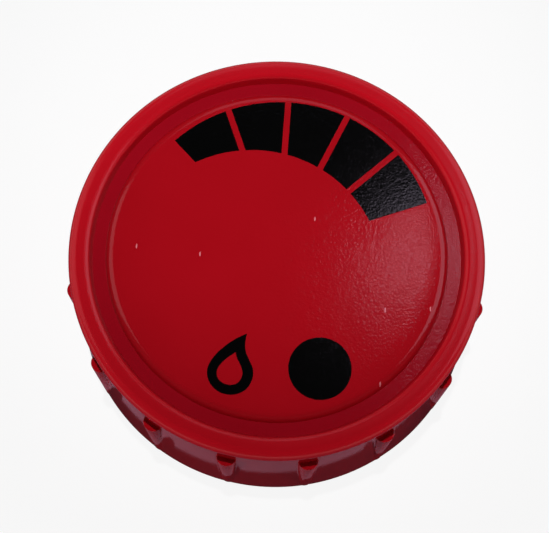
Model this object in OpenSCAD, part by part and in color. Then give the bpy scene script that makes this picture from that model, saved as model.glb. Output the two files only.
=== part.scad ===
// Drip emitter for a bottle's neck. A ribbed dial turns on a collar that screws onto the neck.
// A channel under the dial, which grows from fine to wide, lets the water drip or run.
// The collar stands on Z = 0 with its bore downwards, and the dial turns about the Z axis.

/* [Collar] */
// Radius of the bore that takes the thread of a 28 mm bottle neck
bore_r = 13.95; // [12.5:0.05:17]
// Depth of the bore from its mouth to the gasket
bore_depth = 7; // [5:0.1:10]
// Chamfer that leads the neck into the bore
lead_in = 0.6; // [0.3:0.1:1]
// Chamfer around the collar's foot
foot_edge = 0.3; // [0.1:0.05:0.5]
// Wall around the bore
collar_wall = 1.8; // [1.3:0.05:2.5]
// Chamfer around the collar's upper edge, over which the water runs off
runoff = 0.8; // [0.4:0.1:1.2]
// Thickness of the end wall that closes the bore
end_wall = 1.6; // [1.3:0.1:2.5]
// Number of ribs that guide the skirt and leave drains between them
guide_count = 12; // [6:1:18]
// Width of a guide rib
guide_w = 1.2; // [0.8:0.1:2]
// Height of a guide rib above the collar's wall
guide_proud = 1.35; // [0.8:0.05:2]
// Length of collar above the guide ribs
guide_drop = 1; // [0.6:0.1:2]

/* [Gasket and filter] */
// Thickness of the neck gasket
gasket_t = 1.4; // [1:0.1:2]
// Step between the bore and the narrower seat of the gasket
gasket_step = 0.35; // [0.2:0.05:0.6]
// Radius of the gasket's hole, a little inside the neck's mouth
gasket_hole_r = 9.9; // [9.4:0.1:10.8]
// Width of the filter frame's foot, which the mesh is bonded to
frame_foot_w = 1; // [0.8:0.1:1.3]
// Wall of the filter frame above its foot
frame_wall = 0.6; // [0.4:0.05:0.75]
// Height of the filter frame
frame_h = 0.8; // [0.6:0.1:1]
// Height of the filter frame's bars, which leave a way over them to the port
frame_bar_h = 0.4; // [0.3:0.05:0.5]
// Width of the filter frame's bars
frame_bar_w = 0.8; // [0.5:0.1:1.2]
// Number of the filter frame's bars across it
frame_bars = 3; // [2:1:4]
// Radius of the hub where the filter frame's bars cross
frame_hub_r = 1.4; // [1:0.1:2]
// Thickness of the filter mesh
mesh_t = 0.3; // [0.2:0.05:0.4]
// Spacing of the mesh's strands
mesh_pitch = 1.2; // [1.1:0.1:2]
// Width of a mesh strand
mesh_strand = 0.36; // [0.3:0.02:0.5]

/* [Valve] */
// Radius of the post that the dial turns on
post_r = 3; // [2.5:0.1:3.6]
// Radius of the circle on which the inlet port lies
port_circle_r = 7; // [6.5:0.1:7.4]
// Radius of the inlet port
port_r = 0.9; // [0.6:0.05:1.1]
// Radius of the rubber seal disc
seal_r = 9; // [8.6:0.1:11]
// Thickness of the rubber seal disc
seal_t = 1.1; // [0.9:0.1:1.8]
// Depth of the seat that holds the seal disc
seal_seat = 0.5; // [0.3:0.1:0.7]
// Radius of the pegs that keep the seal disc from turning
seal_peg_r = 0.75; // [0.5:0.05:0.9]
// Height of the pegs that keep the seal disc from turning
seal_peg_h = 0.8; // [0.5:0.1:0.8]
// Thickness of the metering disc
metering_t = 1.85; // [1.6:0.05:3]
// Rim of the metering disc beyond the seal disc
metering_rim = 0.3; // [0.1:0.05:1]
// Depth of the tapered groove and its outlet
groove_depth = 0.7; // [0.4:0.05:0.8]
// Width of the tapered groove at its wide end
groove_wide = 1.8; // [1.2:0.1:2]
// Width of the tapered groove at its narrow end
groove_narrow = 0.4; // [0.3:0.05:0.6]
// Width and depth of the fine channel that gives single drops
fine_channel = 0.3; // [0.2:0.05:0.4]
// Radius of the pegs that key the metering disc to the dial
key_r = 0.8; // [0.6:0.05:1]
// Length of the pegs that key the metering disc to the dial
key_length = 0.9; // [0.6:0.05:1]
// Width of the metering disc's edge outside its pegs
key_edge = 0.4; // [0.3:0.05:0.8]
// Thickness of the ring section of the post's rubber ring
o_ring_d = 1; // [0.8:0.05:1.2]
// Depth of the post's groove for the rubber ring
o_ring_groove = 0.6; // [0.45:0.05:0.7]

/* [Turning] */
// Direction of the closed mark, and of the inlet port under it, in degrees
closed_direction = -67.5; // [-90:0.5:-45]
// Turn of the dial from closed to single drops, in degrees
drip_turn = 38; // [30:1:60]
// Turn of the dial from closed to the narrow end of the tapered groove, in degrees
taper_turn = 157.5; // [120:0.5:180]
// Turn of the dial from closed to its full flow, in degrees
full_turn = 270; // [220:1:320]
// Width of the stop on the collar, in degrees
stop_width = 30; // [15:1:34]
// Room left at each end of the turn, in degrees
stop_room = 0.5; // [0.3:0.1:1]
// Room between the metering disc and the stops
stop_gap = 1.2; // [0.6:0.1:1.6]
// Thickness of the stops
stop_t = 2; // [1.2:0.1:2.4]
// Room between a stop and the face that it passes over
stop_lift = 0.5; // [0.3:0.1:0.7]

/* [Dial] */
// Thickness of the dial's web, which runs on the post
web_t = 1.3; // [1.2:0.1:2]
// Room between the guide ribs and the inside of the skirt
drain_gap = 0.8; // [0.4:0.1:1.2]
// Wall of the skirt
skirt_wall = 1.9; // [1.5:0.1:2.4]
// Widening of the skirt from the rim down to its open end
skirt_flare = 0.92; // [0.3:0.02:1.2]
// Height of the skirt's open end above the foot of the collar
skirt_lift = 0.8; // [0.4:0.1:1.6]
// Chamfer around the skirt's open end
skirt_edge = 0.3; // [0.1:0.05:0.5]
// Overhang of the rim beyond the top of the skirt
rim_overhang = 0.3; // [0.1:0.05:0.5]
// Radius of the rim's rounded outer edge
rim_edge_r = 0.95; // [0.75:0.05:1]
// Radius of the rim's rounded inner edge
rim_inner_r = 0.3; // [0.2:0.05:0.4]
// Width of the rim from its outer edge to the recessed floor
rim_w = 2.3; // [2.2:0.1:2.6]
// Width of the flat on top of the rim
rim_flat = 0.8; // [0.4:0.02:0.9]
// Depth of the recessed floor below the top of the rim
recess = 1.1; // [0.8:0.1:1.4]
// Thickness of the recessed floor
floor_t = 1.5; // [1.2:0.1:1.8]
// Width of the recessed floor between the rim and the disc
floor_w = 1.25; // [1:0.05:1.6]
// Wall of the well under the disc
well_wall = 1.3; // [1:0.1:1.4]
// Number of grip ribs
rib_count = 16; // [8:1:20]
// Width of a grip rib
rib_w = 2; // [1.4:0.1:2.4]
// Height of a grip rib above the skirt where the skirt is widest
rib_proud = 0.04; // [0.03:0.01:0.4]
// Height from the top of the grip ribs to the top of the rim
rib_drop = 3.9; // [2.6:0.1:6]

/* [Scale disc] */
// Width of the disc's seat on the recessed floor
disc_seat = 1.35; // [1:0.05:1.6]
// Height of the disc's edge above the recessed floor
disc_h = 0.75; // [0.6:0.05:0.9]
// Radius of the disc's rounded edge
disc_edge_r = 0.5; // [0.3:0.05:0.55]
// Spread of the disc's foot beyond its rounded edge
disc_foot = 0.35; // [0.1:0.05:0.4]
// Rise of the disc's dome from its edge to its middle
dome_h = 0.2; // [0.1:0.05:0.3]
// Wall of the ring that is pressed into the well
spigot_wall = 1.25; // [1:0.05:2]
// Length of the ring that is pressed into the well
spigot_h = 1.6; // [1:0.1:2]

/* [Screw and springs] */
// Thickness of the thrust washer
washer_t = 0.3; // [0.2:0.05:0.5]
// Radius of the thrust washer
washer_r = 5.6; // [5:0.1:7]
// Sheet thickness of the disc spring
spring_t = 0.3; // [0.2:0.05:0.4]
// Height of the disc spring
spring_h = 0.6; // [0.5:0.05:0.9]
// Radius of the disc spring
spring_r = 5; // [4.6:0.1:6]
// Step of the post under the thrust washer
post_step = 0.8; // [0.6:0.05:1]
// Radius of the screw's thread in the post
screw_r = 1.2; // [0.9:0.05:1.25]
// Thickness of the end wall left under the screw's hole
pilot_floor = 1; // [0.6:0.1:1.4]
// Reach of the screw's head over the top of the post
head_reach = 1.3; // [1:0.1:1.6]
// Height of the screw's head
head_h = 1; // [0.8:0.1:1.4]
// Height of the screw head's rounded edge
head_edge = 0.5; // [0.3:0.1:0.6]
// Width of the cross recess in the screw's head
cross_w = 0.7; // [0.5:0.1:0.9]
// Length of the cross recess in the screw's head
cross_length = 3.2; // [2.4:0.1:3.6]
// Depth of the cross recess in the screw's head
cross_depth = 0.6; // [0.4:0.1:0.7]
// Room between the screw's head and the disc
head_room = 0.5; // [0.3:0.1:1]

/* [Clearances] */
// Radial clearance of the turning fits on the post
running = 0.05; // [0.03:0.01:0.1]
// Gap between flat faces that slide on each other
slip = 0.05; // [0.02:0.01:0.1]
// Clearance of pieces that drop or press into a seat
seat = 0.05; // [0.02:0.01:0.1]

/* [Hidden] */
$fn = 128;

// How far a joined form reaches into what carries it
bury = 0.4;
// How far a cutting form reaches past the face it cuts
over = 1;
// How far the fine channel runs on into the tapered groove, in degrees
channel_lap = 2;
// Steps in the very flat curve of the dome
dome_steps = 12;

// Heights, stacked from the foot of the collar up to the top of the rim
end_wall_z = bore_depth + gasket_t;
collar_top_z = end_wall_z + end_wall;
seal_z = collar_top_z - seal_seat;
seal_top_z = seal_z + seal_t;
metering_z = seal_top_z + slip;
web_z = metering_z + metering_t;
web_top_z = web_z + web_t;
washer_z = web_top_z + slip;
spring_z = washer_z + washer_t;
post_top_z = spring_z + spring_h;
floor_z = post_top_z + head_h + head_room;
rim_z = floor_z + recess;
frame_z = end_wall_z - frame_h;
o_ring_z = metering_z + metering_t / 2;
pilot_z = end_wall_z + pilot_floor;

// Radii of the collar, from the bore outwards
collar_r = bore_r + collar_wall;
guide_tip_r = collar_r + guide_proud;
gasket_seat_r = bore_r - gasket_step;
frame_r = gasket_hole_r - seat;
frame_open_r = frame_r - frame_foot_w;
seal_seat_r = seal_r + seat;
seal_peg_circle_r = (post_r + port_circle_r) / 2;
metering_r = seal_r + metering_rim;
key_circle_r = metering_r - key_edge - key_r;
stop_r = metering_r + stop_gap;
o_ring_r = post_r - o_ring_groove + seat + o_ring_d / 2;
metering_bore_r = o_ring_r + o_ring_d / 2 + running;
post_neck_r = post_r - post_step;
washer_hole_r = post_neck_r + seat;

// Radii of the dial, from the skirt's inside outwards and from the rim inwards
skirt_in_r = guide_tip_r + drain_gap;
skirt_r = skirt_in_r + skirt_wall;
skirt_end_r = skirt_r + skirt_flare;
rim_r = skirt_r + rim_overhang;
floor_r = rim_r - rim_w;
disc_r = floor_r - floor_w;
well_r = disc_r - disc_seat;
rib_tip_r = skirt_end_r + rib_proud;
rib_z = skirt_lift + skirt_edge;

// Directions of the valve's features on the dial, which turns anticlockwise to open
drip_direction = closed_direction - drip_turn;
taper_direction = closed_direction - taper_turn;
wide_direction = closed_direction - full_turn;
dial_stop_width = 360 - full_turn - stop_width - 2 * stop_room;

// The groove's inner side is a circle set off its axis, so the groove swells along its arc
groove_r = port_circle_r + groove_wide / 2;
groove_shift = (groove_wide - groove_narrow) / (1 + cos(180 - full_turn + taper_turn));
groove_inner_r = groove_r - groove_wide + groove_shift;

// Point where the line from a point touches a circle on its left side
function touch(point, centre, r) =
    let (d = centre - point, reach = norm(d), turn = atan2(d.y, d.x) + asin(r / reach))
    point + sqrt(reach * reach - r * r) * [cos(turn), sin(turn)];

// A wall standing on an arc, made by turning its section
module arc_wall(r, thickness, z, height, direction, width)
    rotate([0, 0, direction])
        rotate_extrude(angle = width)
            translate([r, z])
                square([thickness, height]);

// A ring of rectangular section
module ring(inner_r, outer_r, z, height)
    rotate_extrude()
        translate([inner_r, z])
            square([outer_r - inner_r, height]);

// A round hole or peg on a circle around the axis
module round_at(circle_r, direction, r, z, height)
    rotate([0, 0, direction])
        translate([circle_r, 0, z])
            cylinder(r = r, h = height);

// Upright ribs with half-round tips, spread evenly around a wall that their roots lie in
module ribs(count, start, root_r, tip_r, width, z, height)
    for (i = [0 : count - 1])
        rotate([0, 0, start + i * 360 / count])
            translate([0, 0, z])
                linear_extrude(height)
                    intersection() {
                        translate([root_r, -width / 2])
                            square([tip_r - root_r, width]);
                        union() {
                            translate([0, -width / 2])
                                square([tip_r - width / 2, width]);
                            translate([tip_r - width / 2, 0])
                                circle(d = width);
                        }
                    }

// A slice of the plane between two directions, wide enough for the metering disc
module sector(from, width)
    polygon([
        [0, 0],
        for (i = [0 : 4]) 2 * metering_r * [cos(from + width * i / 4), sin(from + width * i / 4)]
    ]);

// Half section of the collar: bore, gasket seat, end wall, seal seat and post
module collar_section()
    polygon([
        [bore_r + lead_in, 0], [collar_r - foot_edge, 0], [collar_r, foot_edge],
        [collar_r, collar_top_z - runoff], [collar_r - runoff, collar_top_z],
        [seal_seat_r, collar_top_z], [seal_seat_r, seal_z], [post_r, seal_z],
        [post_r, o_ring_z - o_ring_d / 2 - seat],
        [post_r - o_ring_groove, o_ring_z - o_ring_d / 2 - seat],
        [post_r - o_ring_groove, o_ring_z + o_ring_d / 2 + seat],
        [post_r, o_ring_z + o_ring_d / 2 + seat],
        [post_r, web_top_z - seat], [post_neck_r, web_top_z - seat], [post_neck_r, post_top_z],
        [screw_r + seat, post_top_z], [screw_r + seat, pilot_z], [0, pilot_z],
        [0, end_wall_z], [gasket_seat_r, end_wall_z], [gasket_seat_r, bore_depth],
        [bore_r, bore_depth], [bore_r, lead_in]
    ]);

// Collar that screws onto the neck, with the inlet port, the seal's pegs and the turn stop
module neck_collar()
    color("#26282b") {
        difference() {
            rotate_extrude() collar_section();
            round_at(port_circle_r, closed_direction, port_r, end_wall_z - over, end_wall + 2 * over);
        }
        ribs(guide_count, 0, collar_r - bury, guide_tip_r, guide_w, 0, collar_top_z - guide_drop);
        for (side = [-90, 90])
            round_at(seal_peg_circle_r, closed_direction + side, seal_peg_r,
                seal_z - bury, bury + seal_peg_h);
        arc_wall(stop_r, stop_t, collar_top_z - bury, web_z - stop_lift - collar_top_z + bury,
            closed_direction - stop_width, stop_width);
    }

// Flat rubber washer that the neck's mouth presses on
module neck_gasket()
    color("#8d9094")
        ring(gasket_hole_r, gasket_seat_r - seat, bore_depth, gasket_t);

// Moulded cup with bars that carries the filter mesh inside the gasket
module filter_frame()
    color("#e4e2d8")
        translate([0, 0, frame_z])
            difference() {
                cylinder(r = frame_r, h = frame_h);
                translate([0, 0, frame_bar_h])
                    cylinder(r = frame_r - frame_wall, h = frame_h);
                translate([0, 0, -over])
                    linear_extrude(frame_h + over)
                        difference() {
                            circle(frame_open_r);
                            circle(frame_hub_r);
                            for (i = [0 : frame_bars - 1])
                                rotate(closed_direction + (i + 0.5) * 180 / frame_bars)
                                    square([3 * frame_r, frame_bar_w], center = true);
                        }
            }

// Mesh disc under the filter frame, with whole square gaps only
module filter_mesh()
    color("#c9ccce") {
        gap = mesh_pitch - mesh_strand;
        last = floor(frame_open_r / mesh_pitch);
        translate([0, 0, frame_z - mesh_t])
            linear_extrude(mesh_t)
                difference() {
                    circle(frame_r - frame_wall);
                    for (x = [-last : last], y = [-last : last])
                        if (norm([abs(x) + 0.5, abs(y) + 0.5]) * mesh_pitch < frame_open_r)
                            translate([x, y] * mesh_pitch)
                                square(gap, center = true);
                }
    }

// Rubber face seal around the inlet port
module seal_disc()
    color("#3c3f42")
        difference() {
            ring(post_r + seat, seal_r, seal_z, seal_t);
            round_at(port_circle_r, closed_direction, port_r, seal_z - over, seal_t + 2 * over);
            for (side = [-90, 90])
                round_at(seal_peg_circle_r, closed_direction + side, seal_peg_r + seat,
                    seal_z - over, seal_t + 2 * over);
        }

// Rubber ring in the post's groove, which the metering disc runs on
module stem_o_ring()
    color("#1c1d1f")
        rotate_extrude()
            translate([o_ring_r, o_ring_z])
                circle(d = o_ring_d);

// Outline of the tapered groove with its round wide end and the outlet to the disc's edge
module groove_outline() {
    intersection() {
        difference() {
            circle(groove_r);
            rotate(wide_direction + 180)
                translate([groove_shift, 0])
                    circle(groove_inner_r);
        }
        sector(wide_direction, full_turn - taper_turn);
    }
    rotate(wide_direction)
        translate([port_circle_r, 0]) {
            circle(d = groove_wide);
            translate([0, -groove_wide / 2])
                square([metering_r, groove_wide]);
        }
}

// Metering disc under the dial: the fine channel leads into the tapered groove, which drains outwards
module metering_disc()
    color("#efece2") {
        difference() {
            ring(metering_bore_r, metering_r, metering_z, metering_t);
            translate([0, 0, metering_z - over])
                linear_extrude(groove_depth + over) groove_outline();
            arc_wall(groove_r - groove_narrow, fine_channel, metering_z - over, fine_channel + over,
                taper_direction - channel_lap, drip_direction - taper_direction + channel_lap);
        }
        for (i = [0 : 2])
            round_at(key_circle_r, i * 120, key_r, web_z - bury, key_length + bury);
    }

// Half section of the dial: flared skirt, bead rim, recessed floor, well and web
module dial_section() {
    edge_centre = [rim_r - rim_edge_r, rim_z - rim_edge_r];
    inner_centre = [edge_centre.x - rim_flat, rim_z - rim_inner_r];
    under_floor_z = floor_z - floor_t;
    well_out_r = well_r + well_wall;
    polygon([
        [skirt_end_r - skirt_wall + skirt_edge, skirt_lift], [skirt_end_r - skirt_edge, skirt_lift],
        [skirt_end_r, rib_z], [skirt_r, edge_centre.y],
        [edge_centre.x, rim_z], [inner_centre.x, rim_z],
        touch([floor_r, floor_z], inner_centre, rim_inner_r), [floor_r, floor_z],
        [well_r, floor_z], [well_r, web_top_z], [post_r + running, web_top_z],
        [post_r + running, web_z], [well_out_r, web_z], [well_out_r, under_floor_z],
        [skirt_in_r, under_floor_z], [skirt_end_r - skirt_wall, skirt_lift + skirt_edge]
    ]);
    translate(edge_centre) circle(rim_edge_r);
    translate(inner_centre) circle(rim_inner_r);
}

// Dial with its grip ribs, the sockets for the metering disc's pegs and the turn stop
module dial_cap()
    color("#a3141d") {
        difference() {
            rotate_extrude() dial_section();
            for (i = [0 : 2])
                round_at(key_circle_r, i * 120, key_r + seat, web_z - over, over + key_length + seat);
        }
        ribs(rib_count, 180 / rib_count, skirt_end_r - skirt_wall / 2, rib_tip_r, rib_w,
            rib_z, rim_z - rib_drop - rib_z);
        arc_wall(stop_r, stop_t, collar_top_z + stop_lift, web_z + bury - collar_top_z - stop_lift,
            closed_direction + stop_room, dial_stop_width);
    }

// Half section of the scale disc: domed face, round edge, spread foot and the ring pressed into the well
module scale_disc_section() {
    edge_r = disc_r - disc_foot - disc_edge_r;
    edge_z = floor_z + disc_h - disc_edge_r;
    polygon([
        [0, floor_z], [disc_r, floor_z], [disc_r - disc_foot, edge_z],
        for (i = [dome_steps : -1 : 0])
            let (share = i / dome_steps)
            [edge_r * share, floor_z + disc_h + dome_h * (1 - share * share)]
    ]);
    intersection() {
        translate([edge_r, edge_z]) circle(disc_edge_r);
        translate([0, floor_z]) square([disc_r, disc_h]);
    }
    translate([well_r - seat - spigot_wall, floor_z - spigot_h])
        square([spigot_wall, spigot_h + disc_h / 2]);
}

// Disc that carries the printed marks and covers the screw
module scale_disc()
    color("#a8151f")
        rotate_extrude() scale_disc_section();

// Washer between the dial's web and the disc spring
module thrust_washer()
    color("#d5d8da")
        ring(washer_hole_r, washer_r, washer_z, washer_t);

// Conical spring washer, pressed between the thrust washer and the screw's head
module disc_spring()
    color("#b4b9bd")
        rotate_extrude()
            polygon([
                [washer_hole_r, post_top_z - spring_t], [spring_r, spring_z],
                [spring_r, spring_z + spring_t], [washer_hole_r, post_top_z]
            ]);

// Low round-headed screw with a cross recess
module retaining_screw()
    color("#c2c6c9") {
        head_r = post_neck_r + head_reach;
        difference() {
            rotate_extrude()
                polygon([
                    [0, pilot_z + seat], [screw_r, pilot_z + seat],
                    [screw_r, post_top_z], [head_r, post_top_z],
                    [head_r, post_top_z + head_h - head_edge],
                    [head_r - head_edge, post_top_z + head_h], [0, post_top_z + head_h]
                ]);
            for (turn = [0, 90])
                rotate([0, 0, turn])
                    translate([-cross_length / 2, -cross_w / 2, post_top_z + head_h - cross_depth])
                        cube([cross_length, cross_w, cross_depth + over]);
        }
    }

neck_collar();
neck_gasket();
filter_frame();
filter_mesh();
seal_disc();
stem_o_ring();
metering_disc();
dial_cap();
scale_disc();
thrust_washer();
disc_spring();
retaining_screw();
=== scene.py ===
import math

import bmesh
import bpy
from mathutils import Matrix, Quaternion, Vector
from mathutils.geometry import interpolate_bezier


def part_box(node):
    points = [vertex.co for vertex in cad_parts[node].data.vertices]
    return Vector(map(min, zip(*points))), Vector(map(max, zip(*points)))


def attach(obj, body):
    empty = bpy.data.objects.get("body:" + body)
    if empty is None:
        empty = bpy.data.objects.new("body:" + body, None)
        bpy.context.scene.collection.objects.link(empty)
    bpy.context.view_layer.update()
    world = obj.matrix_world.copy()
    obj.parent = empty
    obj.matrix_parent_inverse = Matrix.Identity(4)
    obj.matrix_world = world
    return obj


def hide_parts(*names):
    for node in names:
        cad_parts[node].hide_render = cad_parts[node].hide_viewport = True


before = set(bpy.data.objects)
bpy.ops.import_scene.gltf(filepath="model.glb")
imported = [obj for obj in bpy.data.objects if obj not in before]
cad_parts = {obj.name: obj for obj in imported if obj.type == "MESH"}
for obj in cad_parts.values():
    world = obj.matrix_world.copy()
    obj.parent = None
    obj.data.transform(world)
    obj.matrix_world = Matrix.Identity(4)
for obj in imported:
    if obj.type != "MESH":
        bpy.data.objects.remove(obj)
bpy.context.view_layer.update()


# Neck collar: the fixed ring that screws onto the bottle's neck, with guide ribs outside that keep the
# dial's skirt off its wall. It is moulded in black polypropylene, post, port and turn stop in one.
MM = 0.001
SHARP_ANGLE = math.radians(25)


def linear(colour):
    """Turns an sRGB hex colour into linear red, green, blue and alpha."""
    shares = [int(colour[i:i + 2], 16) / 255 for i in (0, 2, 4)]
    return [s / 12.92 if s <= 0.04045 else ((s + 0.055) / 1.055) ** 2.4 for s in shares] + [1]


def add(owner, kind, inputs=None, **settings):
    """Adds a shader node to a material or the world. An input that is given as a socket is linked."""
    node = owner.node_tree.nodes.new("ShaderNode" + kind)
    for name, value in settings.items():
        setattr(node, name, value)
    for name, value in (inputs or {}).items():
        if isinstance(value, bpy.types.NodeSocket):
            owner.node_tree.links.new(value, node.inputs[name])
        else:
            node.inputs[name].default_value = value
    return node


def moulded(name, colours, roughness, grain, grain_depth, ior=1.49, shine=0.5, cloud=6.0):
    """A moulded plastic or rubber: its colour clouds slowly, and the mould's grain dents and dulls it.
    The grain's width and depth and the clouds' width are in millimetres."""
    noise_low, noise_high = 0.3, 0.7
    gloss_spread = 0.2
    material = bpy.data.materials.new(name)
    material.use_nodes = True
    shader = material.node_tree.nodes["Principled BSDF"]
    link = material.node_tree.links.new
    place = add(material, "TexCoord").outputs["Object"]
    clouds = add(material, "TexNoise", {"Vector": place, "Scale": 1 / (cloud * MM), "Detail": 3})
    tint = add(
        material, "Mix", {0: clouds.outputs[0], 6: linear(colours[0]), 7: linear(colours[1])},
        data_type="RGBA",
    )
    link(tint.outputs[2], shader.inputs["Base Color"])
    pits = add(material, "TexNoise", {"Vector": place, "Scale": 1 / (grain * MM), "Detail": 2})
    gloss = add(
        material, "MapRange",
        {"Value": pits.outputs[0], "From Min": noise_low, "From Max": noise_high,
         "To Min": roughness * (1 - gloss_spread), "To Max": roughness * (1 + gloss_spread)},
    )
    link(gloss.outputs[0], shader.inputs["Roughness"])
    relief = add(material, "Bump", {"Height": pits.outputs[0], "Distance": grain_depth * MM})
    link(relief.outputs[0], shader.inputs["Normal"])
    shader.inputs["Specular IOR Level"].default_value = shine
    shader.inputs["IOR"].default_value = ior
    return material


def everything(form):
    """All vertices, edges and faces of a form."""
    return form.verts[:] + form.edges[:] + form.faces[:]


def piece_from(form, name, *materials):
    """Makes an object of a finished form, smooth except at its real edges."""
    mesh = bpy.data.meshes.new(name)
    form.to_mesh(mesh)
    form.free()
    mesh.shade_smooth()
    mesh.set_sharp_from_angle(angle=SHARP_ANGLE)
    for material in materials:
        mesh.materials.append(material)
    piece = bpy.data.objects.new(name, mesh)
    bpy.context.scene.collection.objects.link(piece)
    return piece


# Black polypropylene off a satin mould: a deep grey-black whose fine grain spreads every reflection
black_polypropylene = moulded(
    "black_polypropylene", ("1A1C1F", "25272B"), roughness=0.42, grain=0.3, grain_depth=0.006
)
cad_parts["neck_collar"].data.materials[0] = black_polypropylene

# The ridge of the neck's thread winds up the bore, and fades into its wall at both ends
ridge_foot_r = 14.05
ridge_tip_r = 12.75
ridge_foot_w = 1.5
ridge_tip_w = 0.6
thread_z = 1.55
thread_pitch = 2.7
thread_turns = 1.75
thread_steps = 168
fade_steps = 14
ridge = bmesh.new()
section = [
    ridge.verts.new((r * MM, 0, (thread_z + half_width) * MM))
    for r, half_width in (
        (ridge_foot_r, -ridge_foot_w / 2), (ridge_tip_r, -ridge_tip_w / 2),
        (ridge_tip_r, ridge_tip_w / 2), (ridge_foot_r, ridge_foot_w / 2),
    )
]
ridge.faces.new(section)
bmesh.ops.spin(
    ridge, geom=everything(ridge), cent=(0, 0, 0), axis=(0, 0, 1), angle=math.tau * thread_turns,
    dvec=(0, 0, thread_pitch * thread_turns / thread_steps * MM), steps=thread_steps,
)
# Half a step of height is left at the ends, so that their faces don't close up
for i, corner in enumerate(ridge.verts):
    step = i // len(section)
    ridge_share = min(1, (step + 0.5) / fade_steps, (thread_steps + 0.5 - step) / fade_steps)
    r = corner.co.xy.length
    corner.co.xy *= (ridge_foot_r * MM - (ridge_foot_r * MM - r) * ridge_share) / r
bmesh.ops.recalc_face_normals(ridge, faces=ridge.faces)
thread_ridge = piece_from(ridge, "thread_ridge", black_polypropylene)
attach(thread_ridge, "collar")


# Neck gasket: the flat rubber washer that the bottle's mouth presses on.
# It is cut from grey nitrile sheet and snaps into its seat in the bore.

# Nitrile sheet: dull and slightly chalky, with the fine cloth print of its press
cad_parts["neck_gasket"].data.materials[0] = moulded(
    "grey_nitrile_sheet", ("84888C", "929699"), roughness=0.75, grain=0.25, grain_depth=0.012,
    ior=1.52, cloud=2.5,
)


# Filter frame: the moulded cup with crossed bars that holds the mesh over the inlet.
# It is natural polypropylene, pressed into the gasket's hole.

# Natural polypropylene: milky white, a little waxy, with a soft sheen
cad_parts["filter_frame"].data.materials[0] = moulded(
    "natural_polypropylene", ("DEDCD0", "E6E4DA"), roughness=0.38, grain=0.4, grain_depth=0.004,
    cloud=4.0,
)


# Filter mesh: a disc of plain-woven stainless wire, bonded under the frame's foot, that keeps grit from
# the channels. Its wires pass over and under each other, and its edge is cut round.
mesh_low, mesh_high = (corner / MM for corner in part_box("filter_mesh"))
mesh_r = mesh_high.x
mesh_z = (mesh_low.z + mesh_high.z) / 2
wire_r = 0.07
wave_height = 0.075
wire_pitch = 0.6
wire_sides = 6
rings_per_pitch = 4
wires_out = int(mesh_r / wire_pitch)
pairs_out = math.ceil(wires_out / 2) + 1
weave_reach = 2 * pairs_out * wire_pitch


def among(parts, kind):
    """The elements of one kind among those that an operator returns."""
    return [part for part in parts if isinstance(part, kind)]


# One wire is drawn out and waved, and then laid beside itself two pitches apart
weave = bmesh.new()
bmesh.ops.create_circle(weave, segments=wire_sides, radius=wire_r * MM)
bmesh.ops.rotate(weave, verts=weave.verts, matrix=Matrix.Rotation(math.pi / 2, 3, "Y"))
bmesh.ops.translate(weave, verts=weave.verts, vec=Vector((-weave_reach, -weave_reach, 0)) * MM)
bmesh.ops.spin(
    weave, geom=everything(weave), cent=(0, 0, 0), axis=(0, 0, 1), angle=0,
    dvec=(wire_pitch / rings_per_pitch * MM, 0, 0), steps=4 * pairs_out * rings_per_pitch,
)
for corner in weave.verts:
    corner.co.z += wave_height * math.cos(math.pi * corner.co.x / MM / wire_pitch) * MM
bmesh.ops.spin(
    weave, geom=everything(weave), cent=(0, 0, 0), axis=(0, 0, 1), angle=0,
    dvec=(0, 2 * wire_pitch * MM, 0), steps=2 * pairs_out, use_duplicate=True,
)
# Every second wire runs one pitch out of step, and the cross wires are the same set turned over
one_pitch = Matrix.Translation(Vector((wire_pitch, wire_pitch, 0)) * MM)
half_turn = Matrix.Rotation(math.pi, 4, (1, 1, 0))
for change in (one_pitch, half_turn):
    copied = bmesh.ops.duplicate(weave, geom=everything(weave))["geom"]
    bmesh.ops.transform(weave, verts=among(copied, bmesh.types.BMVert), matrix=change)
bmesh.ops.translate(weave, verts=weave.verts, vec=(0, 0, mesh_z * MM))
# The edge is cut round, and every cut wire is closed
outside = [corner for corner in weave.verts if corner.co.xy.length > mesh_r * MM]
bmesh.ops.delete(weave, geom=outside, context="VERTS")
bare = [edge for edge in weave.edges if not edge.link_faces]
bmesh.ops.delete(weave, geom=bare, context="EDGES")
bmesh.ops.holes_fill(weave, edges=weave.edges, sides=2 * wire_sides)
bmesh.ops.recalc_face_normals(weave, faces=weave.faces)


def steel(name, colours, roughness, streak, streak_depth, stretch):
    """A bare steel whose streaks follow its making. Their width and depth are in millimetres,
    and stretch gives how the pattern is drawn out along X, Y and Z."""
    material = bpy.data.materials.new(name)
    material.use_nodes = True
    shader = material.node_tree.nodes["Principled BSDF"]
    link = material.node_tree.links.new
    place = add(material, "TexCoord").outputs["Object"]
    drawn = add(material, "Mapping", {"Vector": place, "Scale": stretch})
    streaks = add(
        material, "TexNoise",
        {"Vector": drawn.outputs[0], "Scale": 1 / (streak * MM), "Detail": 3},
    )
    tint = add(
        material, "Mix", {0: streaks.outputs[0], 6: linear(colours[0]), 7: linear(colours[1])},
        data_type="RGBA",
    )
    link(tint.outputs[2], shader.inputs["Base Color"])
    relief = add(material, "Bump", {"Height": streaks.outputs[0], "Distance": streak_depth * MM})
    link(relief.outputs[0], shader.inputs["Normal"])
    shader.inputs["Metallic"].default_value = 1
    shader.inputs["Roughness"].default_value = roughness
    return material


# Drawn stainless wire: bright, finely mottled by the drawing die
woven_steel = steel(
    "drawn_stainless_wire", ("BFC4C8", "D4D8DA"), roughness=0.28, streak=0.08, streak_depth=0.002,
    stretch=(1, 1, 1),
)
filter_mesh = piece_from(weave, "woven_mesh", woven_steel)
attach(filter_mesh, "collar")
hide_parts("filter_mesh")


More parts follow.
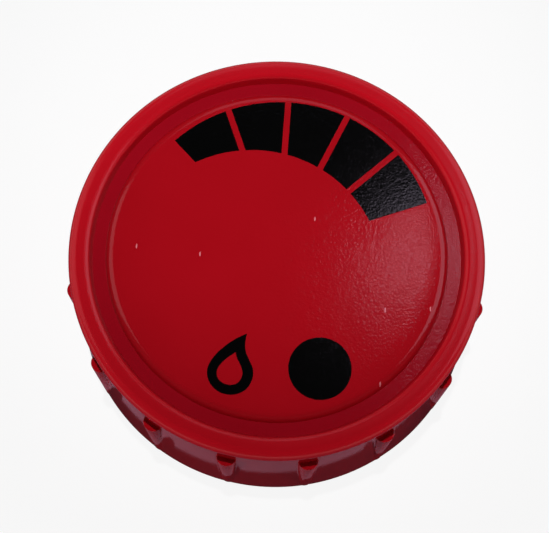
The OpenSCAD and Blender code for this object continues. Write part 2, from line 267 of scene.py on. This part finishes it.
# Seal disc and stem ring: the rubber face seal around the inlet port, held by two pegs, and the ring in
# the post's groove. Both are moulded in black EPDM and greased at assembly.

# Black EPDM rubber: almost black, with a soft wet sheen from the grease
black_rubber = moulded(
    "black_epdm", ("121314", "1A1B1D"), roughness=0.5, grain=0.35, grain_depth=0.005,
    ior=1.5, cloud=3.0,
)
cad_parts["seal_disc"].data.materials[0] = black_rubber
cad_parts["stem_o_ring"].data.materials[0] = black_rubber


# Metering disc: the hard disc keyed under the dial, whose fine channel and swelling groove pass over the
# port. It is moulded in natural acetal so that it slides on the rubber.

# Natural acetal: ivory white, dense and smooth, with a low even gloss
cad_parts["metering_disc"].data.materials[0] = moulded(
    "natural_acetal", ("E9E5D8", "F0EDE2"), roughness=0.3, grain=0.5, grain_depth=0.002,
    ior=1.48, cloud=5.0,
)


# Dial: the red cap that the hand turns, moulded in polypropylene in one with its flared skirt, bead rim,
# recessed floor, sixteen grip ribs and turn stop. Its web runs on the collar's post under the screw.
TURN_STEPS = 192
MERGE = 0.001 * MM


def turned(corners, steps=TURN_STEPS, start=0.0, width=math.tau):
    """A form turned about the Z axis. Corners are radius, height and rounding in millimetres.
    A section that starts on the axis is left open there. A part turn is closed at its ends."""
    form = bmesh.new()
    points = [form.verts.new((r * MM, 0, z * MM)) for r, z, _ in corners]
    for a, b in zip(points, points[1:]):
        form.edges.new((a, b))
    if corners[0][0] > 0:
        form.edges.new((points[-1], points[0]))
    for size in sorted({rounding for _, _, rounding in corners if rounding}):
        chosen = [p for p, corner in zip(points, corners) if corner[2] == size]
        bmesh.ops.bevel(
            form, geom=chosen, offset=size * MM, affect="VERTICES", segments=8, profile=0.5, material=-1
        )
    whole = width == math.tau
    if not whole:
        bmesh.ops.contextual_create(form, geom=form.edges[:])
    bmesh.ops.rotate(form, verts=form.verts, matrix=Matrix.Rotation(start, 3, "Z"))
    bmesh.ops.spin(
        form, geom=everything(form), cent=(0, 0, 0), axis=(0, 0, 1), angle=width, steps=steps,
        use_merge=whole,
    )
    bmesh.ops.remove_doubles(form, verts=form.verts, dist=MERGE)
    bmesh.ops.recalc_face_normals(form, faces=form.faces)
    return form


def join_forms(piece, other, operation):
    """Joins another piece to a piece, or cuts it away, and leaves one closed mesh."""
    change = piece.modifiers.new("join", "BOOLEAN")
    change.operation = operation
    change.solver = "EXACT"
    change.object = other
    joined = bpy.data.meshes.new_from_object(
        piece.evaluated_get(bpy.context.evaluated_depsgraph_get())
    )
    piece.modifiers.remove(change)
    form = bmesh.new()
    form.from_mesh(joined)
    bmesh.ops.remove_doubles(form, verts=form.verts, dist=MERGE)
    bmesh.ops.dissolve_degenerate(form, edges=form.edges, dist=MERGE)
    form.to_mesh(joined)
    form.free()
    old = piece.data
    joined.name = old.name
    piece.data = joined
    bpy.data.meshes.remove(old)
    bpy.data.objects.remove(other)


dial_low, dial_high = (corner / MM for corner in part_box("dial_cap"))
rim_z = dial_high.z
rim_r = 20.1
rim_edge = 0.95
rim_in_r = 18.13
rim_in_edge = 0.4
bead_belly_depth = 1.27
bead_belly_edge = 0.3
bead_foot_r = 19.84
bead_foot_depth = 1.605
bead_foot_z = rim_z - bead_foot_depth
bead_foot_edge = 0.06
skirt_r = dial_high.x
skirt_z = dial_low.z
skirt_edge = 0.3
skirt_wall = 1.9
skirt_in_edge = 0.25
skirt_top_in_r = 17.9
skirt_top_edge = 0.4
floor_r = 17.8
floor_depth = 1.1
floor_t = 1.5
floor_z = rim_z - floor_depth
floor_under_z = floor_z - floor_t
well_r = 15.2
well_wall = 1.3
well_out_r = well_r + well_wall
web_top_z = 13.8
web_z = 12.5
web_hole_r = 3.05
dial_form = turned([
    (skirt_r - skirt_wall, skirt_z, skirt_in_edge), (skirt_r, skirt_z, skirt_edge),
    (bead_foot_r, bead_foot_z, bead_foot_edge), (rim_r, rim_z - bead_belly_depth, bead_belly_edge),
    (rim_r, rim_z, rim_edge), (rim_in_r, rim_z, rim_in_edge),
    (floor_r, floor_z, 0), (well_r, floor_z, 0), (well_r, web_top_z, 0),
    (web_hole_r, web_top_z, 0), (web_hole_r, web_z, 0), (well_out_r, web_z, 0),
    (well_out_r, floor_under_z, 0), (skirt_top_in_r, floor_under_z, skirt_top_edge),
])
dial = piece_from(dial_form, "dial_moulding")

# The half-round ribs stand upright, so the flared skirt takes them up towards the foot
rib_count = 16
rib_r = 1.0
rib_proud = 0.04
rib_depth = 1.3
rib_top_depth = 3.9
rib_lift = 0.3
rib_edge = 0.08
rib_top_z = rim_z - rib_top_depth
rib_foot_z = skirt_z + rib_lift
rib_axis_r = skirt_r + rib_proud - rib_r
rib_root_r = skirt_r - rib_depth
rib = bmesh.new()
bmesh.ops.create_circle(rib, cap_ends=True, segments=48, radius=rib_r * MM)
bmesh.ops.translate(rib, verts=rib.verts, vec=Vector((rib_axis_r, 0, rib_foot_z)) * MM)
raised = bmesh.ops.extrude_face_region(rib, geom=rib.faces[:])["geom"]
bmesh.ops.translate(
    rib, verts=among(raised, bmesh.types.BMVert), vec=(0, 0, (rib_top_z - rib_foot_z) * MM)
)
bmesh.ops.bevel(
    rib, geom=among(raised, bmesh.types.BMEdge), offset=rib_edge * MM, affect="EDGES", segments=4,
    profile=0.5, material=-1,
)
root = bmesh.ops.bisect_plane(
    rib, geom=everything(rib), plane_co=(rib_root_r * MM, 0, 0), plane_no=(-1, 0, 0), clear_outer=True
)["geom_cut"]
bmesh.ops.edgenet_fill(rib, edges=among(root, bmesh.types.BMEdge))
bmesh.ops.recalc_face_normals(rib, faces=rib.faces)
bmesh.ops.rotate(rib, verts=rib.verts, matrix=Matrix.Rotation(math.pi / rib_count, 3, "Z"))
bmesh.ops.spin(
    rib, geom=everything(rib), cent=(0, 0, 0), axis=(0, 0, 1),
    angle=math.tau * (rib_count - 1) / rib_count, steps=rib_count - 1, use_duplicate=True,
)
join_forms(dial, piece_from(rib, "grip_ribs"), "UNION")

# The stop under the web meets the collar's stop at both ends of the turn
stop_r = 10.5
stop_t = 2.0
stop_z = 10.5
stop_edge = 0.2
stop_bury = 0.4
stop_start = math.radians(-67)
stop_width = math.radians(59)
stop = turned(
    [(stop_r, stop_z, stop_edge), (stop_r + stop_t, stop_z, stop_edge),
     (stop_r + stop_t, web_z + stop_bury, 0), (stop_r, web_z + stop_bury, 0)],
    steps=32, start=stop_start, width=stop_width,
)
join_forms(dial, piece_from(stop, "dial_stop"), "UNION")

# Blind sockets under the web take the metering disc's keys
socket_count = 3
socket_r = 0.85
socket_circle_r = 8.1
socket_depth = 0.95
sockets = bmesh.new()
for i in range(socket_count):
    bmesh.ops.create_cone(
        sockets, cap_ends=True, segments=48, radius1=socket_r * MM, radius2=socket_r * MM,
        depth=2 * socket_depth * MM,
        matrix=Matrix.Rotation(math.tau * i / socket_count, 4, "Z")
        @ Matrix.Translation(Vector((socket_circle_r, 0, web_z)) * MM),
    )
join_forms(dial, piece_from(sockets, "key_sockets"), "DIFFERENCE")
dial.data.shade_smooth()
dial.data.set_sharp_from_angle(angle=SHARP_ANGLE)

# Red polypropylene off a turned mould: a clear deep red with a satin sheen, finely streaked around the
# axis by the turning. The streaks are drawn a few times coarser than real, to show.
# Its colour is painted lighter than the dial's other reds, as painted light on the rim.
red_turned_painted_light = moulded(
    "red_polypropylene", ("BA0C1A", "C20E1E"), roughness=0.22, grain=0.25, grain_depth=0.001, shine=0.3
)
streak_w = 0.25
streak_length = 40
streak_depth = 0.006
axes = add(red_turned_painted_light, "SeparateXYZ", {0: add(red_turned_painted_light, "TexCoord").outputs["Object"]}).outputs
squares = [
    add(red_turned_painted_light, "Math", {0: axis, 1: axis}, operation="MULTIPLY").outputs[0] for axis in axes[:2]
]
square = add(red_turned_painted_light, "Math", {0: squares[0], 1: squares[1]}, operation="ADD")
radius = add(red_turned_painted_light, "Math", {0: square.outputs[0]}, operation="SQRT")
along_streak = [
    add(red_turned_painted_light, "Math", {0: axis, 1: streak_w / streak_length}, operation="MULTIPLY").outputs[0]
    for axis in axes[:2]
]
across_streak = add(red_turned_painted_light, "Math", {0: radius.outputs[0], 1: axes[2]}, operation="SUBTRACT")
around = add(
    red_turned_painted_light, "CombineXYZ", {0: along_streak[0], 1: along_streak[1], 2: across_streak.outputs[0]}
)
turning = add(
    red_turned_painted_light, "TexNoise", {"Vector": around.outputs[0], "Scale": 1 / (streak_w * MM), "Detail": 2}
)
turned_shader = red_turned_painted_light.node_tree.nodes["Principled BSDF"]
turning_relief = add(
    red_turned_painted_light, "Bump",
    {"Height": turning.outputs[0], "Distance": streak_depth * MM,
     "Normal": turned_shader.inputs["Normal"].links[0].from_socket},
)
red_turned_painted_light.node_tree.links.new(turning_relief.outputs[0], turned_shader.inputs["Normal"])

# The same red off the polished part of the mould, on the skirt: it mirrors the table clearly
red_polished = moulded(
    "red_polypropylene_polished", ("A80A16", "B00C1A"), roughness=0.05, grain=0.25, grain_depth=0.0003,
    shine=0.3,
)

# The same red where the mould was spark eroded, on the recess's floor, painted darker as painted shade in
# the recess. Fine pits break the highlight into grain; they are drawn about twice as coarse as real, to
# show.
red_eroded_painted_shade = moulded(
    "red_polypropylene_eroded_painted_shade", ("960818", "9E0A1C"), roughness=0.1, grain=0.24, grain_depth=0.018,
    shine=0.34,
)

finishes = [red_turned_painted_light, red_eroded_painted_shade, red_polished]
floor_margin = 0.01
dial.data.materials.clear()
for finish in finishes:
    dial.data.materials.append(finish)
# The recess's floor takes the red that is painted darker as painted shade, the skirt the polished red
for face in dial.data.polygons:
    face_r = math.hypot(face.center.x, face.center.y) / MM
    face_z = face.center.z / MM
    if face_r < floor_r and face_z > floor_z - floor_margin:
        face.material_index = finishes.index(red_eroded_painted_shade)
    elif face_r > skirt_top_in_r and face_z < bead_foot_z:
        face.material_index = finishes.index(red_polished)
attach(dial, "dial")
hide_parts("dial_cap")


# Thrust washer, disc spring and screw: the washer runs on the dial's web, the conical spring presses the
# dial down on the seal, and the screw in the post holds the stack together.

# Grey acetal: smooth and slightly waxy
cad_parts["thrust_washer"].data.materials[0] = moulded(
    "grey_acetal", ("C6CACD", "D2D6D8"), roughness=0.35, grain=0.4, grain_depth=0.002, ior=1.48
)
# Cold-rolled spring steel: a cool grey with straight rolling lines, drawn coarser than real
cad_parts["disc_spring"].data.materials[0] = steel(
    "rolled_stainless", ("A9AEB3", "BCC0C4"), roughness=0.3, streak=0.12, streak_depth=0.003,
    stretch=(0.05, 1, 1),
)
# Cold-headed stainless: bright, with a faint tumbled texture
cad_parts["retaining_screw"].data.materials[0] = steel(
    "headed_stainless", ("B9BEC2", "CACED1"), roughness=0.25, streak=0.3, streak_depth=0.002,
    stretch=(1, 1, 1),
)


# Scale disc: the raised, slightly domed disc that is pressed into the dial's well and hides the screw.
# It is moulded in the same red polypropylene, grained all over so that the print holds.
disc_low, disc_high = (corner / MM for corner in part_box("scale_disc"))
disc_r = disc_high.x
disc_flare = 0.3
disc_edge = 0.6
dome_h = 0.2
dome_steps = 10
edge_r = disc_r - disc_flare
edge_z = disc_high.z - dome_h
dome_r = edge_r - disc_edge
spigot_gap = 0.05
spigot_wall = 1.25
spigot_edge = 0.2
spigot_z = disc_low.z
spigot_out_r = well_r - spigot_gap
spigot_in_r = spigot_out_r - spigot_wall


def face_height(x, y):
    """Height of the domed face in millimetres, over a point that is given in metres."""
    return edge_z + dome_h * (1 - (x * x + y * y) / (dome_r * MM) ** 2)


dome_radii = [dome_r * i / dome_steps for i in range(dome_steps)]
disc_form = turned([(r, face_height(r * MM, 0), 0) for r in dome_radii] + [
    (edge_r, edge_z, disc_edge), (disc_r, floor_z, 0), (spigot_out_r, floor_z, 0),
    (spigot_out_r, spigot_z, spigot_edge), (spigot_in_r, spigot_z, spigot_edge),
    (spigot_in_r, floor_z, spigot_edge), (0, floor_z, 0),
])

# The same red with a shallower spark-eroded grain, which breaks the highlight up and is also drawn about
# twice as coarse as real, to show. Handling has left a few short pale nicks in it.
red_worn = moulded(
    "red_polypropylene_worn", ("A80A16", "B00C1A"), roughness=0.09, grain=0.24, grain_depth=0.016,
    shine=0.34,
)
nick_spacing = 6.5
nick_w = 0.07
nick_stretch = (1, 0.3, 1)
nick_turn = (0, 0, 0.5)
nick_shift = Vector((3, 1.5, 0)) * MM
nick_colour = "E07F8A"
nick_place = add(red_worn, "Mapping", {
    "Vector": add(red_worn, "TexCoord").outputs["Object"], "Location": nick_shift,
    "Rotation": nick_turn, "Scale": nick_stretch,
})
nicks = add(
    red_worn, "TexVoronoi", {"Vector": nick_place.outputs[0], "Scale": 1 / (nick_spacing * MM)},
    voronoi_dimensions="2D",
)
in_nick = add(
    red_worn, "Math", {0: nicks.outputs["Distance"], 1: nick_w / nick_spacing}, operation="LESS_THAN"
)
worn_shader = red_worn.node_tree.nodes["Principled BSDF"]
worn_tint = add(
    red_worn, "Mix",
    {0: in_nick.outputs[0], 6: worn_shader.inputs["Base Color"].links[0].from_socket,
     7: linear(nick_colour)},
    data_type="RGBA",
)
red_worn.node_tree.links.new(worn_tint.outputs[2], worn_shader.inputs["Base Color"])
scale_disc = piece_from(disc_form, "scale_face", red_worn)
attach(scale_disc, "dial")
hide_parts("scale_disc")


# Printed marks: a dot for closed, a drop for single drops and five blocks that swell with the flow.
# They are pad printed on the disc in black ink, a film so thin that the disc's grain shows through it.
FILM = 0.02

# Black pad-printing ink: dense and deep, with glints from the disc's own grain where the light strikes
black_ink = moulded(
    "black_pad_ink", ("020202", "040404"), roughness=0.12, grain=0.22, grain_depth=0.014,
    ior=1.5, shine=0.42,
)


def print_film(form, name):
    """Lays a flat form on the domed face as a closed film of ink that rides on the dial."""
    raised = bmesh.ops.extrude_face_region(form, geom=form.faces[:])["geom"]
    tops = set(among(raised, bmesh.types.BMVert))
    for corner in form.verts:
        height = FILM if corner in tops else -FILM / 2
        corner.co.z = (face_height(corner.co.x, corner.co.y) + height) * MM
    bmesh.ops.recalc_face_normals(form, faces=form.faces)
    mark = piece_from(form, name, black_ink)
    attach(mark, "dial")


dot_r = 2.97
dot_centre = Vector((4.52, -11.35, 0))
dot = bmesh.new()
bmesh.ops.create_circle(dot, cap_ends=True, cap_tris=True, segments=96, radius=dot_r * MM)
bmesh.ops.translate(dot, verts=dot.verts, vec=dot_centre * MM)
print_film(dot, "closed_dot")


def outline(points, steps=16):
    """Points of a closed outline in millimetres: each stretch is a start and the two handles after it."""
    found = []
    for (start, first, second), (end, _, _) in zip(points, points[1:] + points[:1]):
        ends = [Vector((*p, 0)) for p in (start, first, second, end)]
        found += interpolate_bezier(*ends, steps + 1)[:-1]
    return found


# The drop is a ring of ink between an outer and an inner outline, with its tip at the upper right
drop_out = outline([
    ((-2.45, -8.35), (-3.99, -8.94), (-6.02, -10.76)),
    ((-6.02, -12.09), (-6.02, -13.32), (-4.97, -14.23)),
    ((-3.77, -14.23), (-2.57, -14.23), (-1.69, -13.32)),
    ((-1.69, -12.14), (-1.69, -10.81), (-2.98, -10.61)),
])
drop_in = outline([
    ((-3.45, -10.19), (-4.2, -10.67), (-5.11, -11.49)),
    ((-5.11, -12.14), (-5.11, -12.79), (-4.59, -13.29)),
    ((-3.81, -13.29), (-3.14, -13.29), (-2.70, -12.79)),
    ((-2.70, -12.14), (-2.70, -11.49), (-3.27, -11.05)),
])
drop = bmesh.new()
drop_edges = []
for points in (drop_out, drop_in):
    ring = [drop.verts.new(point * MM) for point in points]
    drop_edges += [drop.edges.new(pair) for pair in zip(ring, ring[1:] + ring[:1])]
bmesh.ops.bridge_loops(drop, edges=drop_edges)
print_film(drop, "drop_mark")

# The blocks lie between two circles whose centres are set apart, so the band swells along its arc
band_circles = ((0.26, 0.53, 14.95), (-2.36, -2.3, 12.5))
scale_start = 21.2
scale_end = 134.3
gap_count = 4
gap_middle = 77.2
gap_step = 22.5
gap_w = 0.6
gap_directions = [gap_middle + gap_step * (i - (gap_count - 1) / 2) for i in range(gap_count)]


def beside(point, direction):
    """How far a point lies to the left of a ray from the disc's middle, in millimetres."""
    turn = math.radians(direction)
    return (point.y * math.cos(turn) - point.x * math.sin(turn)) / MM


blocks = bmesh.new()
for x, y, r in band_circles:
    circle = bmesh.ops.create_circle(blocks, segments=TURN_STEPS, radius=r * MM)["verts"]
    bmesh.ops.translate(blocks, verts=circle, vec=Vector((x, y, 0)) * MM)
bmesh.ops.bridge_loops(blocks, edges=blocks.edges[:])
bmesh.ops.subdivide_edgering(
    blocks, edges=[e for e in blocks.edges if len(e.link_faces) == 2], cuts=5, interp_mode="LINEAR"
)
cuts = [(scale_start, 0), (scale_end, 0)]
cuts += [(direction, side * gap_w / 2) for direction in gap_directions for side in (-1, 1)]
for direction, offset in cuts:
    turn = math.radians(direction)
    left = Vector((-math.sin(turn), math.cos(turn), 0))
    bmesh.ops.bisect_plane(
        blocks, geom=everything(blocks), plane_co=left * offset * MM, plane_no=left
    )
spare = []
for face in blocks.faces:
    middle = face.calc_center_median()
    in_gap = any(abs(beside(middle, direction)) < gap_w / 2 for direction in gap_directions)
    if beside(middle, scale_start) < 0 or beside(middle, scale_end) > 0 or in_gap:
        spare.append(face)
bmesh.ops.delete(blocks, geom=spare, context="FACES")
print_film(blocks, "flow_blocks")


# Stage: a white table, small lamps that only light the dial, walls and a window that are only mirrored in
# it, and a camera that looks down from the front as the picture does.
table_r = 1.5
table_form = bmesh.new()
bmesh.ops.create_circle(table_form, cap_ends=True, segments=96, radius=table_r)
floor = piece_from(table_form, "table")

# The camera sees the table almost white, with a trace of the dial's shadow. In reflections that white fades
# out towards the dial, as painted shade round it, and a duller table with the whole shadow takes its place.
white_share = 0.9
white_from_r = 40
white_full_r = 200
table_tone = "F4F4F6"
mirrored_tone = "A07C90"
white_table = bpy.data.materials.new("white_table")
white_table.use_nodes = True
tree = white_table.node_tree
tree.nodes.remove(tree.nodes["Principled BSDF"])
table_rays = add(white_table, "LightPath").outputs
table_place = add(white_table, "TexCoord").outputs["Object"]
away = add(white_table, "VectorMath", {0: table_place}, operation="LENGTH")
# Painted shade: the mirrored white is taken away near the dial and comes back further out
painted_shade_fade = add(
    white_table, "MapRange",
    {"Value": away.outputs["Value"], "From Min": white_from_r * MM, "From Max": white_full_r * MM},
)
table_white = add(
    white_table, "Math", {0: table_rays["Is Glossy Ray"], 1: painted_shade_fade.outputs[0]}, operation="MULTIPLY"
)
for ray in ("Is Camera Ray", "Is Transmission Ray"):
    table_white = add(
        white_table, "Math", {0: table_white.outputs[0], 1: table_rays[ray]}, operation="MAXIMUM"
    )
share = add(white_table, "Math", {0: table_white.outputs[0], 1: white_share}, operation="MULTIPLY")
tone = add(
    white_table, "Mix",
    {0: table_rays["Is Camera Ray"], 6: linear(mirrored_tone), 7: linear(table_tone)},
    data_type="RGBA",
)
lit = add(white_table, "BsdfDiffuse", {"Color": tone.outputs[2]})
white = add(white_table, "Emission", {"Color": (1, 1, 1, 1), "Strength": 1.0})
mixed = add(white_table, "MixShader", {0: share.outputs[0], 1: lit.outputs[0], 2: white.outputs[0]})
tree.links.new(mixed.outputs[0], tree.nodes["Material Output"].inputs["Surface"])
floor.data.materials.append(white_table)

# The room is dim, and its light falls off from the walls up to the ceiling. The camera sees it white all
# round, and reflections show that white up to the top of a low backdrop at the horizon.
wall_z = 0.15
wall_light = 0.09
ceiling_z = 0.75
ceiling_light = 0.02
backdrop_z = 0.1
room = bpy.data.worlds.new("soft_room")
bpy.context.scene.world = room
room.use_nodes = True
room_rays = add(room, "LightPath").outputs
room_height = add(room, "SeparateXYZ", {0: add(room, "TexCoord").outputs["Generated"]}).outputs["Z"]
backdrop = add(room, "Math", {0: room_height, 1: backdrop_z}, operation="LESS_THAN")
backdrop_glimpse = add(
    room, "Math", {0: room_rays["Is Glossy Ray"], 1: backdrop.outputs[0]}, operation="MULTIPLY"
)
room_light = add(
    room, "MapRange",
    {"Value": room_height, "From Min": wall_z, "From Max": ceiling_z,
     "To Min": wall_light, "To Max": ceiling_light},
)
for ray in (
    room_rays["Is Camera Ray"], room_rays["Is Transmission Ray"], backdrop_glimpse.outputs[0]
):
    room_light = add(room, "Math", {0: room_light.outputs[0], 1: ray}, operation="MAXIMUM")
background = room.node_tree.nodes["Background"]
room.node_tree.links.new(room_light.outputs[0], background.inputs["Strength"])
background.inputs["Color"].default_value = (1, 1, 1, 1)

rim_centre = Vector((0, 0, rim_z)) * MM
lamp_reach = 0.4
wall_reach = 0.38
overhead = (-0.02, 0.052, 0.99)


def lamp(name, direction, reach, width, length, watts, colour="FFFFFF", lights=True, mirrored=True):
    """A soft box that faces the dial from a direction, at a reach and with a size in metres.
    It can be kept out of the dial's diffuse light, or out of its reflections."""
    light = bpy.data.lights.new(name, "AREA")
    light.shape = "RECTANGLE"
    light.size = width
    light.size_y = length
    light.energy = watts
    light.color = linear(colour)[:3]
    light.cycles.use_multiple_importance_sampling = mirrored
    box = bpy.data.objects.new(name, light)
    box.location = rim_centre + Vector(direction).normalized() * reach
    box.rotation_mode = "QUATERNION"
    box.rotation_quaternion = (rim_centre - box.location).to_track_quat("-Z", "Y")
    box.visible_diffuse = lights
    box.visible_glossy = mirrored
    bpy.context.scene.collection.objects.link(box)


# Square lamps that light the dial and aren't mirrored in it
for name, direction, size, watts in (
    ("ceiling_lamp", overhead, 0.006, 0.36),
    ("front_side", (0.1, -0.99, 0.01), 0.03, 0.22),
    ("back_side", (-0.1, 0.99, 0.01), 0.03, 0.3),
    ("left_side", (-0.95, -0.3, 0.01), 0.03, 0.55),
    ("right_side", (0.97, -0.1, 0.01), 0.03, 0.5),
):
    lamp(name, direction, lamp_reach, size, size, watts, mirrored=False)
# A window and walls that are mirrored in the dial and don't light it
for name, direction, reach, width, length, watts, colour in (
    ("window", (0.182, 0.3, 0.936), lamp_reach, 0.016, 0.055, 0.023, "E8D8F0"),
    ("left_wall", (-0.78, 0.2, 0.57), wall_reach, 0.3, 0.3, 0.32, "F4DCE6"),
    ("right_wall", (0.75, 0.3, 0.55), wall_reach, 0.36, 0.36, 0.7, "E0E6FF"),
    ("back_wall", (0, 0.8, 0.6), wall_reach, 0.25, 0.25, 0.15, "E0E6FF"),
):
    lamp(name, direction, reach, width, length, watts, colour=colour, lights=False)

# A spotlight at the ceiling lamp: its soft edge leaves the front of the dial dimmer
spot_aim = Vector((0, 14, rim_z)) * MM
spot_half_width = 44 * MM
spot = bpy.data.lights.new("spotlight", "SPOT")
spot.energy = 3.9
spot.shadow_soft_size = 0.003
spot.spot_blend = 1.0
spot.spot_size = 2 * math.atan(spot_half_width / lamp_reach)
spot.cycles.use_multiple_importance_sampling = False
spot_lamp = bpy.data.objects.new("spotlight", spot)
spot_lamp.location = rim_centre + Vector(overhead).normalized() * lamp_reach
spot_lamp.rotation_mode = "QUATERNION"
spot_lamp.rotation_quaternion = (spot_aim - spot_lamp.location).to_track_quat("-Z", "Y")
spot_lamp.visible_glossy = False
bpy.context.scene.collection.objects.link(spot_lamp)

camera_reach = 122.15 * MM
camera_rise = math.radians(72.788)
camera_roll = math.radians(2.414)
camera_aim = Vector((-0.18, -1.70, rim_z)) * MM
camera_place = rim_centre + camera_reach * Vector((0, -math.cos(camera_rise), math.sin(camera_rise)))
level_view = (camera_aim - camera_place).to_track_quat("-Z", "Y")
lens = bpy.data.cameras.new("camera")
lens.lens = 83.55
lens.clip_start = 0.01
camera = bpy.data.objects.new("camera", lens)
camera.location = camera_place
camera.rotation_mode = "QUATERNION"
camera.rotation_quaternion = level_view @ Quaternion((0, 0, 1), camera_roll)
bpy.context.scene.collection.objects.link(camera)
bpy.context.scene.camera = camera
bpy.context.scene.view_settings.view_transform = "Standard"
